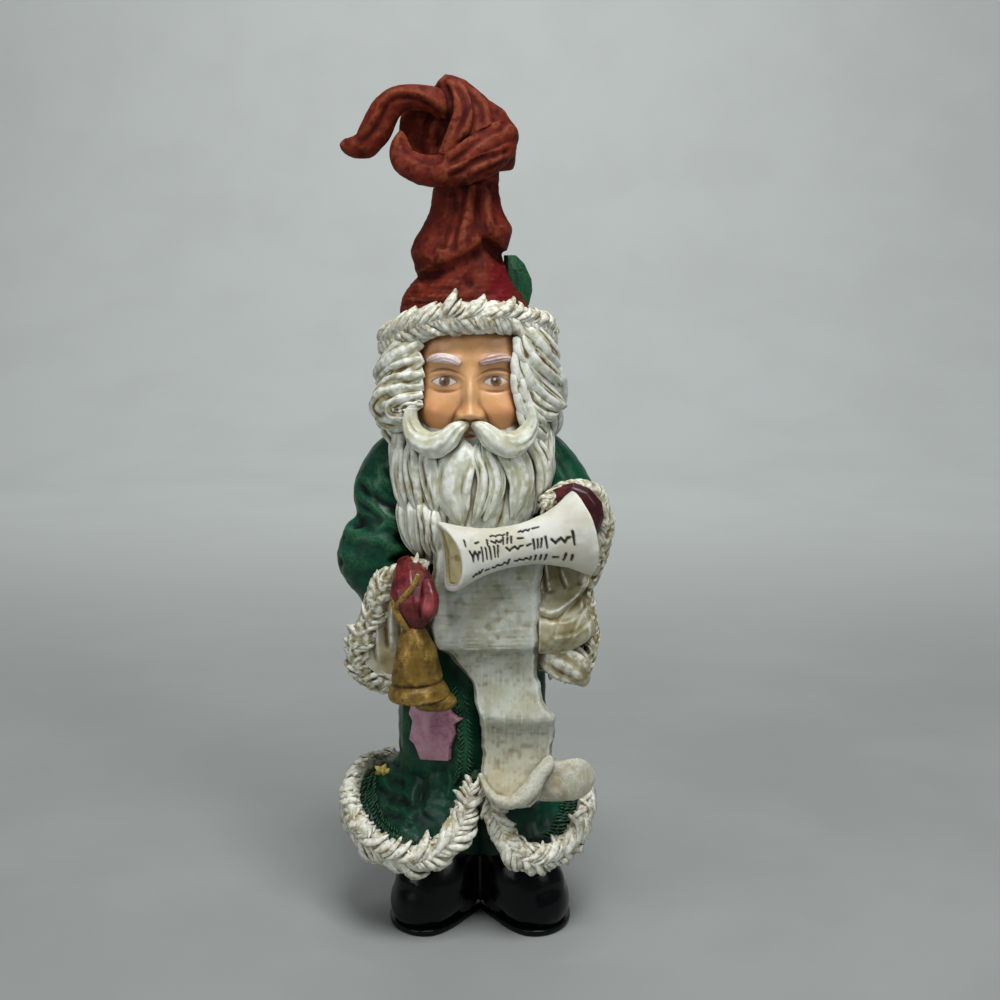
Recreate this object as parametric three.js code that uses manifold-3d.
// A slim standing winter-gift figurine, cast in one piece and painted: a tall twisted hat, a long
// coat with fur trim, an unrolled list in both mittens and a small bell. Millimetres, +Z up, the
// front faces -Y, and the origin lies on the soles between the heels.
import * as THREE from "three";
import { mergeVertices } from "three/addons/utils/BufferGeometryUtils.js";
import Module from "manifold-3d";

const wasm = await Module();
wasm.setup();

// Driving dimensions
const middleX = -1.5; // the head and the trunk stand a little left of the heels
const eyeHeight = 109;
const eyeSpacing = 9.6;
const noseHeight = 102.6;
const mouthBelowNose = 4.8;
const faceHalfWidth = 12.4;
const solePlane = 0;

// Each key of a column is [z, left x, right x, front y, back y].
const trunkKeys = [
  [24, -13, 12, -9, 11],
  [34, -16.2, 13.2, -12, 12],
  [44, -16.2, 12.6, -12, 11],
  [56, -15.6, 12.4, -11, 10.5],
  [70, -15, 12.6, -10.5, 11],
  [84, -16, 14, -10, 11.5],
  [92, -16.6, 14.4, -9, 11],
  [99, -11, 9, -6, 9],
];
const headKeys = [
  [95, -11, 8, -12.2, 0],
  [99, -12.4, 9.4, -12.8, 4],
  [104, -13.6, 10.6, -13.6, 4],
  [110, -14, 11, -13.6, 4],
  [116, -13.6, 10.6, -12.6, 4],
  [120, -12.6, 9.6, -11.2, 4],
];
const beardKeys = [
  [105, -13.5, 10.5, -9, 2],
  [100, -16, 13.2, -13.4, 3],
  [95, -16, 13.4, -15.2, 2],
  [89, -15.6, 13, -15.8, 1],
  [83, -14.8, 11.2, -15.4, 0],
  [78, -13.6, 6.5, -14, -2],
  [74, -11.5, 1.5, -12, -5],
];
const hairKeys = [
  [91, -10, 7, -2, 10],
  [96, -15, 11.6, -3, 12],
  [101, -16.8, 13.4, -5, 13],
  [108, -17, 13, -6, 13.6],
  [114, -16.4, 12.6, -6, 13],
  [119.5, -14.6, 10.6, -6, 11.4],
];
const hatKeys = [
  [117, -15.2, 11.4, -11.5, 11.5],
  [121.6, -15, 9.6, -11, 10.5],
  [126, -13.1, 6.6, -9.6, 9],
  [128.4, -11.5, 5.3, -9, 8.4],
  [132.5, -12.8, 4.2, -8.6, 7.8],
  [136, -11.4, 5.9, -7.8, 7.3],
  [140, -9.3, 4.5, -6.4, 6.4],
  [143, -8.5, 3.5, -5.6, 5.6],
  [148, -7.6, 3.6, -5, 5],
  [153, -6, 3, -4, 4],
];

// Each key of a limb is [x, y, z, half width, half thickness].
const knotRolls = [
  [
    [-7.6, -0.2, 163.6, 2.2, 2.4],
    [-4.5, -0.5, 161, 3.6, 3.6],
    [-1.5, -1, 157.5, 4.4, 4.2],
    [1.5, -1, 154, 4.8, 4.2],
    [3.4, -0.5, 151, 3.8, 3.8],
    [3.6, 0, 147.6, 2.8, 3],
  ],
  [
    [5.4, 1.5, 153.6, 2.2, 2.6],
    [5, -3, 151.2, 2.5, 2.6],
    [1.4, -6.2, 148.8, 2.8, 2.6],
    [-5, -7.2, 147.2, 3, 2.6],
    [-10.6, -6.4, 147.6, 3.1, 2.5],
    [-13.9, -5.2, 149.4, 2.6, 2.2],
    [-14.5, -4.9, 152, 1.8, 1.6],
    [-14.2, -4.7, 154.7, 0.4, 0.5],
  ],
  [
    [-6.6, -7.8, 148.2, 0.8, 0.8],
    [-3.4, -8.2, 149.6, 1.6, 1.4],
    [0, -7.2, 151.6, 2, 1.8],
    [3.2, -5.2, 153.4, 2, 2],
    [5.4, -2.4, 154.2, 1.9, 2],
    [5.2, 1, 154.4, 1, 1],
  ],
  [
    [-6.8, -1.6, 163.8, 1.6, 1.5],
    [-4.2, -3.4, 161.2, 1.8, 1.7],
    [-3.1, -4.7, 158, 2, 1.8],
    [-3.5, -5.6, 154.8, 1.8, 1.8],
    [-5, -6.4, 151.6, 1.4, 1.4],
    [-6.4, -6.6, 149.6, 0.7, 0.7],
  ],
  [
    [0.2, -1, 159.8, 1.2, 1.2],
    [2.6, -1.8, 158, 1.7, 1.8],
    [4.4, -1.8, 156, 1.7, 1.8],
    [5.9, -1, 154.2, 1.6, 1.8],
    [6, 0, 152.4, 1.6, 1.6],
    [4.8, 0.5, 150.2, 1.4, 1.4],
  ],
  [
    [-3.6, 2.4, 146, 4, 4.4],
    [-4.8, 2.2, 151, 6.6, 5],
    [-4.6, 2, 156, 6.6, 5],
    [-4.8, 1.6, 160.4, 4.4, 3.6],
    [-5.6, 1.2, 163.4, 1.2, 1.2],
  ],
  [
    [-11.6, 1, 149.4, 3, 1.8],
    [-11.8, 0.6, 153.4, 3.3, 1.8],
    [-11.4, 0, 157.2, 3.1, 1.8],
    [-9.8, -1, 160, 2, 1.6],
  ],
];
const hatTipKeys = [
  [-4.2, -2.4, 157.4, 2.3, 2.4],
  [-7.6, -4.2, 160, 2.4, 2.3],
  [-11.8, -5, 160.6, 2.1, 2.1],
  [-15.6, -5, 159.5, 2.4, 2.2],
  [-18, -4.6, 156.5, 2.7, 2.3],
  [-19.8, -4.2, 153.2, 2.6, 2.2],
  [-22.2, -4, 151.7, 2.2, 1.9],
  [-24.2, -4, 152.1, 1.5, 1.4],
  [-25.2, -4, 153, 0.6, 0.7],
];
const leftSleeveKeys = [
  [-9, 1.5, 98, 4, 5],
  [-14.6, 1, 92.4, 6.2, 7],
  [-17.6, -0.4, 86, 6.9, 7.4],
  [-17.4, -1.8, 80.6, 6.4, 7],
  [-19.4, -2.6, 75.6, 7.6, 7.2],
  [-18.6, -3, 71.2, 7.4, 7],
  [-17, -3.8, 65, 6, 6.8],
  [-17.2, -4.6, 58, 5, 5.6],
  [-17.4, -5.4, 52.6, 2.4, 3],
];
const rightSleeveKeys = [
  [7.5, 1.5, 97, 4, 5],
  [11.8, 1.6, 92.6, 5.6, 6.6],
  [15, 0.4, 87, 6.6, 6.8],
  [17, -1.8, 80, 6.6, 7],
  [16.4, -4.6, 72, 5.6, 7.4],
  [15.6, -6.4, 64, 5.4, 7],
  [15.8, -7, 58.6, 5.6, 6.8],
  [16, -6, 54, 3, 3.6],
];
const leftMittenKeys = [
  [-13.6, -10.5, 73.4, 2.4, 2.6],
  [-12.8, -14.6, 72.4, 3.6, 3.2],
  [-12.2, -17.2, 70.6, 4.4, 3.4],
  [-11.8, -18, 68, 4.3, 3.4],
  [-11.8, -18, 64.8, 2.5, 2.4],
  [-12.1, -17.9, 63, 1.6, 1.6],
];
const leftThumbKeys = [
  [-9.6, -18.8, 72.6, 1.2, 1.2],
  [-8.9, -20.8, 70, 1.7, 1.6],
  [-9.2, -21.4, 67.4, 1.8, 1.6],
  [-9.8, -20.6, 65.6, 0.9, 0.9],
];
const rightMittenKeys = [
  [13.6, -10.5, 86.6, 1.6, 1.6],
  [17, -12.6, 88, 2.2, 2.2],
  [20.2, -13.2, 86.4, 2.6, 2.4],
  [21.2, -13, 83, 2.4, 2.4],
  [20.6, -12.4, 79.4, 1.2, 1.4],
];
// Half of the moustache, x counted from the middle
const moustacheKeys = [
  [0.5, -15.0, 101.5, 0.6, 0.6],
  [2.4, -15.9, 100.5, 1.5, 1.5],
  [4.6, -15.9, 98.4, 2.2, 2.2],
  [7.4, -14.6, 97.5, 2.3, 2.5],
  [10.0, -12.4, 98.9, 1.8, 2.2],
  [11.1, -10.9, 101.8, 1.2, 1.8],
  [9.6, -11, 105.9, 0.3, 0.7],
];
const leftCuffKeys = [
  [-9.6, -13, 73.6, 2, 2],
  [-13.6, -12.8, 73, 2.4, 2.2],
  [-18.2, -11.6, 69.4, 3, 2.4],
  [-20.6, -10.6, 62.8, 3.1, 2.4],
  [-23.4, -9, 56.4, 3.1, 2.5],
  [-22, -8.4, 51.6, 3, 2.4],
  [-17, -9.2, 50.6, 2.7, 2.2],
  [-13.4, -10.4, 54, 2.2, 2],
  [-11.2, -11.6, 62, 1.8, 1.8],
];
const rightCuffKeys = [
  [12.4, -11.8, 85, 2.4, 2.2],
  [16.4, -11.4, 87.8, 2.6, 2.2],
  [21, -10.4, 87, 2.9, 2.4],
  [23.4, -9.6, 81.4, 2.9, 2.4],
  [22.2, -9, 74.8, 2.4, 2.2],
  [20.4, -8.4, 67.6, 1.9, 1.8],
  [21, -8, 60.6, 2.2, 2],
  [20.6, -8.4, 55.4, 3, 2.4],
  [16.6, -9, 53, 3.4, 2.4],
  [12.4, -10, 55.4, 2.4, 2],
];
const bandKeys = [
  [-1.5, -13.2, 121, 3.2, 2.6],
  [-9, -11.6, 119.8, 3.2, 2.6],
  [-14.6, -7, 117.2, 3.3, 2.6],
  [-17.2, 0, 115.4, 3.3, 2.7],
  [-14.6, 8, 114, 3.1, 2.5],
  [-7.6, 12.6, 113.4, 3.1, 2.5],
  [1, 13, 113.4, 3.1, 2.5],
  [9, 9, 114.2, 3.1, 2.5],
  [12.8, 1, 116.4, 3.3, 2.7],
  [10.8, -7, 118.8, 3.2, 2.6],
  [5.4, -11.8, 120.6, 3.2, 2.6],
];
const hemKeys = [
  [-1.6, -14.4, 31.6, 1.6, 1.6],
  [-2.9, -16.4, 25.8, 2.6, 2],
  [-6.4, -18, 20.4, 2.9, 2.2],
  [-12, -18.4, 17.8, 3, 2.3],
  [-18.4, -16.4, 18.6, 3, 2.3],
  [-23.6, -11, 21.4, 3, 2.3],
  [-26.2, -4, 25.2, 2.9, 2.3],
  [-24.2, 3.4, 27.6, 2.8, 2.3],
  [-18.6, 9.4, 27, 2.7, 2.2],
  [-9.6, 13.4, 25.4, 2.7, 2.2],
  [-1, 14.4, 24.8, 2.7, 2.2],
  [7.6, 13.4, 25.4, 2.7, 2.2],
  [15.6, 9.4, 25.4, 2.7, 2.2],
  [20, 3.4, 24.6, 2.8, 2.3],
  [21, -4, 22.6, 2.9, 2.3],
  [18.2, -11, 18.8, 3.1, 2.3],
  [12.6, -16.2, 17, 3.1, 2.3],
  [7.4, -17.8, 18.6, 2.9, 2.2],
  [3.4, -16.6, 24.6, 2.4, 2],
  [1.4, -14.6, 30.4, 1.6, 1.6],
];
// The list hangs from a roll that flares at both ends. Sheet keys are [z, left x, right x, y].
const rollLeftEnd = [-5.5, -22.2, 77.6];
const rollRightEnd = [19.2, -15.6, 81];
const rollRadii = [[6.2], [4.9], [4.1], [3.9], [4.4], [5.8], [8.1]];
const rollWall = 1;
const rollFlatness = 0.8;
const rollSlant = 0.14; // the left mouth is cut so that it faces a little forward
const rollSquareness = 0.42; // how far that mouth is from an oval
const rollMouthDepths = [0.08, 0.2]; // shares of the roll's length
const sheetThickness = 3;
const sheetKeys = [
  [79, -6.6, 12.4, -14.6],
  [74, -7.2, 12.2, -15.4],
  [68, -7.4, 11.4, -17],
  [62, -8, 11.1, -18.2],
  [59, -8.4, 11.1, -18],
  [57, -5.6, 11.2, -16.2],
  [52, -2, 11.6, -15.6],
  [48, -0.9, 12.6, -17],
  [45.4, -0.3, 14.4, -18],
  [42, 0, 14.4, -16.4],
  [36, 0.2, 13.6, -16.6],
  [31.6, 0.6, 12.4, -18.6],
  [29, 2.4, 10, -20.6],
];
const sheetFlapKeys = [
  [10.4, -16.2, 31.6, 3, 1.3],
  [14, -16.8, 32.6, 3.9, 1.5],
  [17.8, -16.2, 33, 3.9, 1.5],
  [20.3, -14.6, 32.8, 3.1, 1.3],
  [21.6, -13.2, 32.8, 1.4, 0.8],
];
const sheetCurlKeys = [
  [0.2, -17.6, 34.6, 0.3, 0.5],
  [3.6, -20.2, 30.5, 0.8, 1.1],
  [6.4, -20.9, 30.1, 1.1, 1.3],
  [9, -20.4, 31.6, 1.3, 1.4],
  [11, -19.4, 34.4, 1.4, 1.4],
  [13.8, -17.8, 38, 0.5, 0.5],
];
// Each key of a cuff's lining is [z, left x, right x, y at the left, y at the right].
const leftLiningKeys = [
  [74, -15.5, -9.5, -12, -12],
  [67, -19.8, -9, -11.2, -12.8],
  [63, -21, -9.5, -10.8, -12.8],
  [59.5, -22.4, -10.5, -10.4, -12.4],
  [57, -22, -12, -10.2, -12],
  [54.4, -18.6, -13, -10, -11.4],
];
const rightLiningKeys = [
  [78, 11.6, 20, -11.4, -11],
  [74, 11.6, 21, -12, -11.6],
  [66, 10.4, 20.4, -14.6, -13],
  [63, 10.4, 21.8, -15.4, -13.4],
  [60.6, 10.4, 22, -16, -13.6],
  [57.4, 11, 16.5, -14.6, -13.6],
];
const liningThickness = 2.6;
const bellTop = [-12.2, -18, 64.6];
const bellMouth = [-11.3, -17.6, 50];
const bellProfile = [
  [0, 1.4],
  [0.8, 2.6],
  [2.6, 3.4],
  [9.8, 4.6],
  [11, 4.9],
  [11.4, 4.6],
  [12.4, 5.2],
  [14.3, 5.8],
];
const clapperCentre = [-8.4, -18, 49.2];
const clapperRadii = [4.2, 3, 2];
const patchOutline = [
  [-4.5, 6.2], [-2.1, 5.2], [-0.7, 4.8], [2.9, 5], [3.9, 3.6], [6, 2.6], [4.6, 1.5], [4.85, -0.4],
  [3.6, -3.3], [3.4, -5.9], [0.2, -6.3], [-2.8, -6.6], [-4.1, -3.7], [-5.3, -2.8], [-4.85, -0.9],
  [-4.5, 1], [-5.3, 2.4], [-4.7, 4.3],
];
const patchCentre = [-8.7, -10.6, 41.4];
const patchTurn = -0.48;
const leafTurn = 0.5;
const leafOutline = [
  [-2.4, -5], [2.2, -5], [3, -2.2], [2.8, 0], [1.2, 3], [-0.6, 4.6], [-2.4, 4.6],
];
const leafCentre = [7.2, 0.4, 127.2];
const plateThickness = 1.8;
const soleThickness = 1.35;
const solePoints = 18;
// Leg, boot and sole keys are for the +X foot.
const soleOutline = [
  [0.4, -2.8], [3, -7.4], [6, -12], [9.4, -14.8], [13.4, -14.4], [16.8, -11], [18.2, -6],
  [17.4, 0], [14.4, 5.4], [10, 9.4], [5.6, 10.6], [1.6, 8.6], [-0.8, 4], [-0.8, 0], [0.4, -2.8],
];
const legKeys = [
  [3, -1.5, 28, 6, 7],
  [4, -2.4, 20, 6.4, 7],
  [4.6, -3, 14.6, 6.2, 6.8],
  [4.8, -3, 11, 4, 4],
];
const shaftKeys = [
  [4.2, -2.6, 16, 5.6, 6],
  [4.8, -3, 14, 6.4, 7.2],
  [6, -3.2, 10, 7.2, 7.8],
  [6.2, -2, 5.4, 7, 7.6],
  [6, -0.6, 3.4, 4.6, 5.6],
];
const bootKeys = [
  [5, 9.4, 5, 3.4, 4.4],
  [6, 6.6, 6, 5.8, 6.2],
  [8, 0, 6.4, 7.6, 7.4],
  [10, -5.4, 5.8, 8, 7.2],
  [11.2, -9.8, 5.2, 7.3, 6.4],
  [11.8, -13, 4.4, 5, 4.6],
  [12, -14.8, 4, 1.6, 1.6],
];
const beardLocks = { count: 8, spread: 1.62, depth: 0.075 };
const backLocks = { count: 7, spread: 1.9, depth: 0.06 };
const hatFolds = { count: 7, spread: Math.PI, depth: 0.07 };
const tuftPitch = 5.2;
const tuftLean = -2.8; // the tufts' tips lie this far along the trim from their roots
const plainBehind = 2; // behind this plane the trims' tufts are left out
// Half of a trim's section: [across, out], from its sunken spine round to its hidden back
const trimSection = [[0, 0.9], [0.98, 0.62], [0.6, -0.8]];

// Smooth values between hand-placed keys, t from 0 to 1 over the whole list
function along(keys, t, closed = false) {
  const spans = closed ? keys.length : keys.length - 1;
  const s = Math.min(Math.max(t, 0), 1) * spans;
  const i = Math.min(Math.floor(s), spans - 1);
  const f = s - i;
  const last = keys.length - 1;
  const key = (j) => keys[closed ? (j + keys.length) % keys.length : Math.min(Math.max(j, 0), last)];
  const [before, start, end, after] = [i - 1, i, i + 1, i + 2].map(key);
  return start.map((b, c) => {
    const [a, d, e] = [before[c], end[c], after[c]];
    const bend = (2 * a - 5 * b + 4 * d - e) * f * f + (3 * b - a - 3 * d + e) * f * f * f;
    return b + 0.5 * ((d - a) * f + bend);
  });
}

// A closed mesh through rings of points, with a flat fan at each end unless the ends are joined
function skin(rings, joined = false) {
  const sides = rings[0].length;
  const points = rings.flat();
  const faces = [];
  const spans = joined ? rings.length : rings.length - 1;
  for (let r = 0; r < spans; r++) {
    const next = (r + 1) % rings.length;
    for (let k = 0; k < sides; k++) {
      const a = r * sides + k;
      const b = r * sides + ((k + 1) % sides);
      const c = next * sides + k;
      const d = next * sides + ((k + 1) % sides);
      faces.push(a, b, d, a, d, c);
    }
  }
  if (!joined) {
    for (const [row, flip] of [[0, true], [rings.length - 1, false]]) {
      const hub = points.length;
      points.push(rings[row].reduce((s, p) => s.add(p), new THREE.Vector3()).divideScalar(sides));
      for (let k = 0; k < sides; k++) {
        const a = row * sides + k;
        const b = row * sides + ((k + 1) % sides);
        faces.push(...(flip ? [hub, b, a] : [hub, a, b]));
      }
    }
  }
  return new THREE.BufferGeometry().setFromPoints(points).setIndex(faces);
}

function solidOf(geometry) {
  const bare = geometry.clone();
  bare.deleteAttribute("normal");
  bare.deleteAttribute("uv");
  const merged = mergeVertices(bare, 1e-4);
  const triVerts = new Uint32Array(merged.index.array);
  const vertProperties = new Float32Array(merged.attributes.position.array);
  const made = new wasm.Manifold(new wasm.Mesh({ numProp: 3, vertProperties, triVerts }));
  if (made.volume() > 0) return made;
  for (let i = 0; i < triVerts.length; i += 3) {
    [triVerts[i + 1], triVerts[i + 2]] = [triVerts[i + 2], triVerts[i + 1]];
  }
  return new wasm.Manifold(new wasm.Mesh({ numProp: 3, vertProperties, triVerts }));
}

function evenAngles(count) {
  return Array.from({ length: count }, (_, k) => -Math.PI + (2 * Math.PI * k) / count);
}

// Columns that alternate groove and crest over the spread on both sides of facing, and are plain
// over the rest
function lockAngles({ count, spread }, facing = 0) {
  const angles = [];
  for (let k = 0; k < 2 * count; k++) angles.push(facing - spread + (k / count) * spread);
  const rest = Math.PI - spread;
  const plain = Math.round((rest * 2) / 0.6);
  for (let k = 0; k < plain; k++) angles.push(facing + spread + ((2 * rest) / plain) * k);
  return angles;
}

// A standing body: level ovals between its outlines. An angle is counted from the front towards +X,
// and relief moves a point out by millimetres, in or out by a share, and round by an angle.
function column(keys, angles, rows, relief = () => ({})) {
  const rings = [];
  for (let r = 0; r <= rows; r++) {
    const [z, left, right, front, back] = along(keys, r / rows);
    const [wide, deep] = [(right - left) / 2, (back - front) / 2];
    rings.push(
      angles.map((angle, k) => {
        const { out = 0, share = 0, turn = 0 } = relief(angle, z, k, r / rows);
        const a = angle + turn;
        const x = (left + right) / 2 + (wide * (1 + share) + out) * Math.sin(a);
        const y = (front + back) / 2 - (deep * (1 + share) + out) * Math.cos(a);
        return new THREE.Vector3(x, y, z);
      }),
    );
  }
  return solidOf(skin(rings));
}

// Grooves and crests that sway from side to side on their way down
function locksOf({ count, depth }, sway, wave) {
  return (angle, z, k, t) => {
    const grooved = k < 2 * count;
    const fade = Math.min(1, 6 * t * (1 - t) + 0.35);
    const share = grooved ? (k % 2 ? depth : -depth) * fade : 0;
    return { share, turn: grooved ? sway * Math.sin(z * wave + angle * 2.6) * fade : 0 };
  };
}

// Places along a limb's keys, each with its direction and two directions across it
function stations(keys, steps, closed = false) {
  const found = [];
  const at = (t) => along(keys, closed ? ((t % 1) + 1) % 1 : t, closed);
  const reach = 0.01;
  let side = null;
  const count = closed ? steps : steps + 1;
  for (let i = 0; i < count; i++) {
    const t = i / steps;
    const [x, y, z, wide, thick] = at(t);
    const from = closed ? t - reach : Math.max(0, t - reach);
    const to = closed ? t + reach : Math.min(1, t + reach);
    const dir = new THREE.Vector3(...at(to)).sub(new THREE.Vector3(...at(from))).normalize();
    const guide = Math.abs(dir.y) > 0.9 ? new THREE.Vector3(0, 0, 1) : new THREE.Vector3(0, 1, 0);
    side ??= dir.clone().cross(guide);
    side = side.clone().addScaledVector(dir, -side.dot(dir)).normalize();
    const up = dir.clone().cross(side);
    found.push({ t, at: new THREE.Vector3(x, y, z), dir, side, up, wide, thick });
  }
  return found;
}

function limb(keys, sides, steps, fold = () => 0) {
  const rings = stations(keys, steps).map((s) => {
    const ring = [];
    for (let k = 0; k < sides; k++) {
      const a = (k / sides) * 2 * Math.PI;
      const swell = 1 + fold(a, s.t);
      const point = s.at.clone().addScaledVector(s.side, s.wide * Math.cos(a) * swell);
      ring.push(point.addScaledVector(s.up, s.thick * Math.sin(a) * swell));
    }
    return ring;
  });
  return solidOf(skin(rings));
}

function egg(centre, radii, around = 12, over = 8) {
  const ball = new THREE.SphereGeometry(1, around, over);
  ball.scale(...radii);
  ball.translate(...centre);
  return solidOf(ball);
}

// Fur trim: a cord of tufts that sweep from its spine out to both edges, as on an ear of wheat.
// core gives the point that the trim faces away from, for a place on it.
function trim(keys, core, closed = false) {
  const guide = stations(keys, 12 * keys.length, closed).map((s) => s.at);
  let length = 0;
  for (let i = 1; i < guide.length; i++) length += guide[i].distanceTo(guide[i - 1]);
  const mirrored = trimSection.slice(1).reverse().map(([across, out]) => [-across, out]);
  const section = [...trimSection, ...mirrored];
  const spaced = stations(keys, 2 * Math.round(length / tuftPitch), closed);
  const kept = spaced.filter((s, i) => s.at.y < plainBehind || i % 2 === 0);
  const rings = kept.map((s, i) => {
    const out = s.at.clone().sub(core(s.at));
    out.addScaledVector(s.dir, -out.dot(s.dir)).normalize();
    const across = s.dir.clone().cross(out);
    const tip = i % 2 === 0;
    return section.map(([side, rise]) => {
      const edge = Math.min(1, Math.abs(side)) * (rise > 0 ? 1 : 0);
      const swell = tip ? 1 + 0.2 * edge : 1 - 0.14 * edge;
      return s.at
        .clone()
        .addScaledVector(across, side * s.wide * swell)
        .addScaledVector(out, rise * s.thick * swell)
        .addScaledVector(s.dir, tuftLean * edge);
    });
  });
  return solidOf(skin(rings, closed));
}

const trunkAxis = (p) => new THREE.Vector3(middleX, 0, p.z + 3);
const headAxis = (p) => new THREE.Vector3(middleX, 0, p.z);
const cuffAxis = (x) => (p) => new THREE.Vector3(x, 2, p.z);

function hat() {
  const folds = (angle, z, k) => ({
    share: hatFolds.depth * (k % 2 ? 1 : -1) * Math.min(1, (z - 118) / 14),
    turn: (135 - z) * 0.018 + 0.12 * Math.sin(z * 0.3),
  });
  const twist = (a, t) => 0.06 * Math.cos(2 * a + 5 * t);
  return [
    column(hatKeys, lockAngles(hatFolds), 10, folds),
    ...knotRolls.map((keys) => limb(keys, 6, keys.length, twist)),
    limb(hatTipKeys, 7, 10, twist),
  ];
}

// A thin plate with a ragged outline, its face raised to a crease a little left of its middle
function plate(outline, centre, turn, crease) {
  const half = plateThickness / 2;
  const ring = (depth) => outline.map(([x, z]) => new THREE.Vector3(x, depth, z));
  const spine = outline.map(([x, z]) => new THREE.Vector3(x * 0.3 - 1, -half - crease, z * 0.45));
  const geometry = skin([ring(half), ring(-half), spine]);
  geometry.rotateZ(turn);
  geometry.translate(...centre);
  return solidOf(geometry);
}

function mound(x, z, wide, high) {
  return Math.exp(-(x * x) / (wide * wide) - (z * z) / (high * high));
}

function head() {
  const half = eyeSpacing / 2;
  const face = (angle, z) => {
    if (Math.abs(angle) > 1.3) return {};
    const x = faceHalfWidth * Math.sin(angle);
    const sideways = Math.abs(x);
    const [bridge, mouth] = [(eyeHeight + noseHeight) / 2 + 0.6, noseHeight - mouthBelowNose];
    return {
      out:
        2.9 * mound(x, z - noseHeight - 0.4, 1.9, 1.7) +
        1.7 * mound(x, z - bridge, 1.1, 3.2) -
        1.1 * mound(sideways - half + 0.9, z - eyeHeight, 2.5, 1.7) +
        0.8 * mound(sideways - half, z - eyeHeight + 0.2, 1.9, 1.1) +
        0.9 * mound(sideways - half, z - eyeHeight - 4, 3, 0.9) +
        1.5 * mound(sideways - half - 1.6, z - noseHeight - 0.6, 2.8, 2.8) +
        1 * mound(x, z - mouth, 2, 0.9),
    };
  };
  const front = [0.1, 0.2, 0.32, 0.44, 0.58, 0.76, 1.1];
  const angles = [...front.map((a) => -a).reverse(), 0, ...front, Math.PI];
  return column(headKeys, angles, 12, face);
}

function beard() {
  const solids = [column(beardKeys, lockAngles(beardLocks), 8, locksOf(beardLocks, 0.07, 0.3))];
  for (const side of [-1, 1]) {
    const keys = moustacheKeys.map(([x, ...rest]) => [middleX + side * x, ...rest]);
    solids.push(limb(keys, 6, 8));
  }
  return solids;
}

function hair() {
  const angles = lockAngles(backLocks, Math.PI);
  const solids = [column(hairKeys, angles, 6, locksOf(backLocks, 0.06, 0.5))];
  for (const side of [-1, 1]) {
    const reach = side < 0 ? -18.8 : 15.2;
    for (let i = 0; i < 3; i++) {
      const z = 114.5 - i * 5.2;
      const temple = middleX + side * (11.2 + i * 0.4);
      const keys = [
        [temple, -10.4, z, 1.6, 1.8],
        [temple + (reach - temple) * 0.4, -9, z - 2.6, 2.7, 2.4],
        [temple + (reach - temple) * 0.85, -4.8, z - 4.2, 2.5, 2.2],
        [reach + side * 0.6, -0.6, z - 4.6, 1.4, 1.3],
        [reach, 3, z - 3.4, 0.4, 0.4],
      ];
      solids.push(limb(keys, 6, 6));
    }
  }
  return solids;
}

function coat() {
  const drape = (angle, z) => ({ share: 0.03 * Math.sin(7 * angle + 0.06 * z) });
  const puckers = (a, t) => 0.08 * Math.sin(17 * t + 1.6 * Math.cos(a)) * Math.sin(Math.PI * t);
  return [
    column(trunkKeys, evenAngles(16), 7, drape),
    limb(leftSleeveKeys, 9, 11, puckers),
    limb(rightSleeveKeys, 9, 10, puckers),
    skirt(),
  ];
}

// The coat's flared hem: each line runs from the waist down and out to the fur, and back in under
// it to the legs
function skirt() {
  const around = 26;
  const rows = 4;
  const flareTurn = 0.08; // the lines drop close to the body before they turn outwards
  const underShare = 0.45;
  const waist = along(trunkKeys, 0.19);
  const rings = Array.from({ length: rows + 2 }, () => []);
  for (let k = 0; k < around; k++) {
    const hem = new THREE.Vector3(...along(hemKeys, k / around, true).slice(0, 3));
    const a = Math.atan2(hem.y + 1, hem.x - middleX);
    const top = new THREE.Vector3(
      middleX + ((waist[2] - waist[1]) / 2) * 0.92 * Math.cos(a),
      ((waist[4] - waist[3]) / 2) * 0.92 * Math.sin(a),
      waist[0] + 4,
    );
    const turn = top.clone().lerp(hem, flareTurn);
    turn.z = hem.z + (top.z - hem.z) * 0.02;
    const curve = new THREE.QuadraticBezierCurve3(top, turn, hem);
    for (let r = 0; r <= rows; r++) rings[r].push(curve.getPoint(r / rows));
    const underX = middleX + (hem.x - middleX) * underShare;
    rings[rows + 1].push(new THREE.Vector3(underX, hem.y * underShare - 1, Math.max(hem.z, 20) - 0.5));
  }
  return solidOf(skin(rings));
}

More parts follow.
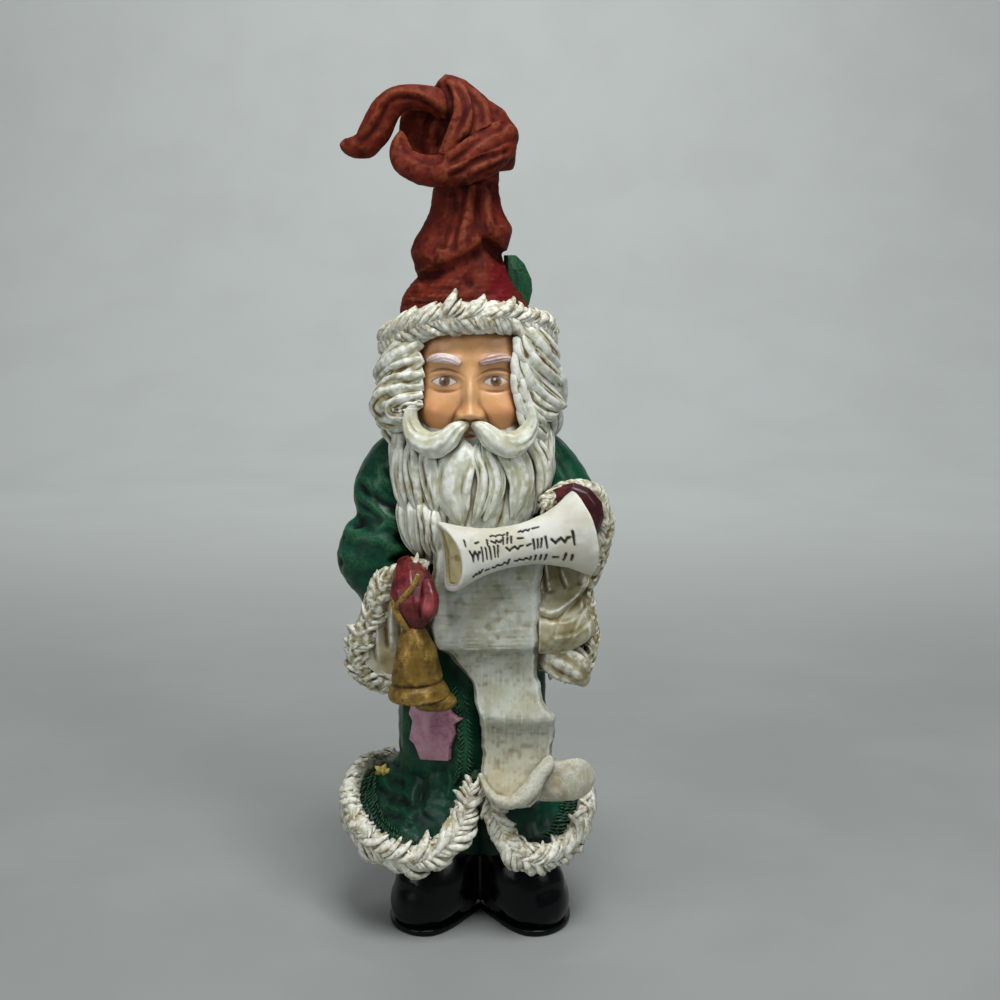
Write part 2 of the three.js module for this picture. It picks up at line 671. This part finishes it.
function list() {
  const left = new THREE.Vector3(...rollLeftEnd);
  const right = new THREE.Vector3(...rollRightEnd);
  const span = left.distanceTo(right);
  const axis = right.clone().sub(left).normalize();
  const up = new THREE.Vector3(0, 0, 1).addScaledVector(axis, -axis.z).normalize();
  const front = axis.clone().cross(up);
  const ringAt = (t, shrink) => {
    const inside = Math.min(Math.max(t, 0), 1);
    const radius = along(rollRadii, inside)[0] - shrink;
    const first = Math.max(0, 1 - inside / 0.4);
    const last = Math.max(0, inside / 0.3 - 2.33);
    const square = (v) => Math.sign(v) * Math.abs(v) ** (1 - rollSquareness * first);
    const centre = left.clone().addScaledVector(axis, t * span);
    return evenAngles(12).map((a) => {
      const [height, depth] = [square(Math.cos(a)), square(Math.sin(a))];
      const forward = radius * rollFlatness * depth;
      const curve = (first + 0.9 * last) * (1 - height * height);
      const bow = curve + rollSlant * first * forward - 0.5 * last * height;
      const point = centre.clone().addScaledVector(up, radius * (1 - 0.15 * first * depth) * height);
      return point.addScaledVector(front, forward).addScaledVector(axis, bow);
    });
  };
  const steps = 6;
  let roll = solidOf(skin(Array.from({ length: steps + 1 }, (_, i) => ringAt(i / steps, 0))));
  for (const [outside, floor] of [[-0.1, rollMouthDepths[0]], [1.1, 1 - rollMouthDepths[1]]]) {
    const mouth = [outside, floor].map((t) => ringAt(t, rollWall));
    roll = roll.subtract(solidOf(skin(mouth)));
  }
  const rows = 14;
  const across = 3;
  const rings = [];
  for (let r = 0; r <= rows; r++) {
    const [z, xLeft, xRight, y] = along(sheetKeys, r / rows);
    const ring = [];
    for (const back of [0, 1]) {
      for (let k = 0; k <= across; k++) {
        const s = back ? 1 - k / across : k / across;
        const bow = 1.2 * (1 - Math.cos((s - 0.5) * 2.2));
        ring.push(new THREE.Vector3(xLeft + (xRight - xLeft) * s, y + bow + back * sheetThickness, z));
      }
    }
    rings.push(ring);
  }
  return [roll, solidOf(skin(rings)), limb(sheetFlapKeys, 6, 4), limb(sheetCurlKeys, 5, 6)];
}

// The surface inside a wide cuff, hollow by so many millimetres, or bulging where that is negative
function lining(keys, hollow) {
  const rows = 5;
  const across = 2;
  const rings = [];
  for (let r = 0; r <= rows; r++) {
    const [z, left, right, yLeft, yRight] = along(keys, r / rows);
    const point = (s, back) => {
      const y = yLeft + (yRight - yLeft) * s + hollow * Math.sin(Math.PI * s) + back;
      return new THREE.Vector3(left + (right - left) * s, y, z);
    };
    const shares = Array.from({ length: across + 1 }, (_, k) => k / across);
    const front = shares.map((s) => point(s, 0));
    const back = shares.reverse().map((s) => point(s, liningThickness));
    rings.push([...front, ...back]);
  }
  return solidOf(skin(rings));
}

function bell() {
  const top = new THREE.Vector3(...bellTop);
  const down = new THREE.Vector3(...bellMouth).sub(top).normalize();
  const closed = [[0, 0], ...bellProfile, [bellProfile.at(-1)[0], 0]];
  const outline = closed.map(([depth, radius]) => new THREE.Vector2(radius, depth));
  const body = new THREE.LatheGeometry(outline, 12);
  body.applyQuaternion(new THREE.Quaternion().setFromUnitVectors(new THREE.Vector3(0, 1, 0), down));
  body.translate(...bellTop);
  return [solidOf(body), egg(clapperCentre, clapperRadii, 10, 6)];
}

function hands() {
  return [limb(leftMittenKeys, 8, 6), limb(leftThumbKeys, 5, 4), limb(rightMittenKeys, 7, 6)];
}

// One sole. The two soles overlap between the heels.
function sole(side) {
  const outline = new THREE.SplineCurve(soleOutline.map(([x, y]) => new THREE.Vector2(side * x, y)));
  const shape = new THREE.Shape(outline.getPoints(solePoints));
  return solidOf(new THREE.ExtrudeGeometry(shape, { depth: soleThickness, bevelEnabled: false }));
}

// Boots with heels together and toes apart, cut flat at the soles, and the trouser legs in them
function feet() {
  const solids = [];
  for (const side of [-1, 1]) {
    const mirror = (keys) => keys.map(([x, ...rest]) => [side * x, ...rest]);
    solids.push(limb(mirror(legKeys), 9, 3));
    solids.push(limb(mirror(shaftKeys), 9, 3));
    solids.push(limb(mirror(bootKeys), 11, 7));
    solids.push(sole(side));
  }
  const ground = new THREE.BoxGeometry(120, 120, 40);
  ground.translate(0, 0, solePlane - 20);
  const floor = solidOf(ground);
  return solids.map((s) => s.subtract(floor));
}

const solids = [
  ...coat(),
  head(),
  ...hair(),
  ...beard(),
  ...hat(),
  ...hands(),
  ...bell(),
  ...list(),
  lining(leftLiningKeys, 1.8),
  lining(rightLiningKeys, -1.6),
  ...feet(),
  trim(bandKeys, headAxis, true),
  trim(hemKeys, trunkAxis),
  trim(leftCuffKeys, cuffAxis(-15)),
  trim(rightCuffKeys, cuffAxis(15)),
  plate(patchOutline, patchCentre, patchTurn, 0.5),
  plate(leafOutline, leafCentre, leafTurn, 0.7),
];
const casting = solids.reduce((joined, solid) => joined.add(solid));
const made = casting.getMesh();
const surface = new THREE.BufferGeometry();
surface.setAttribute("position", new THREE.BufferAttribute(made.vertProperties, made.numProp));
surface.setIndex(new THREE.BufferAttribute(made.triVerts, 1));
surface.computeVertexNormals();

const resin = new THREE.MeshStandardMaterial({ color: 0xd8d4c0, roughness: 0.6, metalness: 0 });
const figurine = new THREE.Mesh(surface, resin);
figurine.name = "santa_figurine";

const group = new THREE.Group();
group.add(figurine);

export default group;
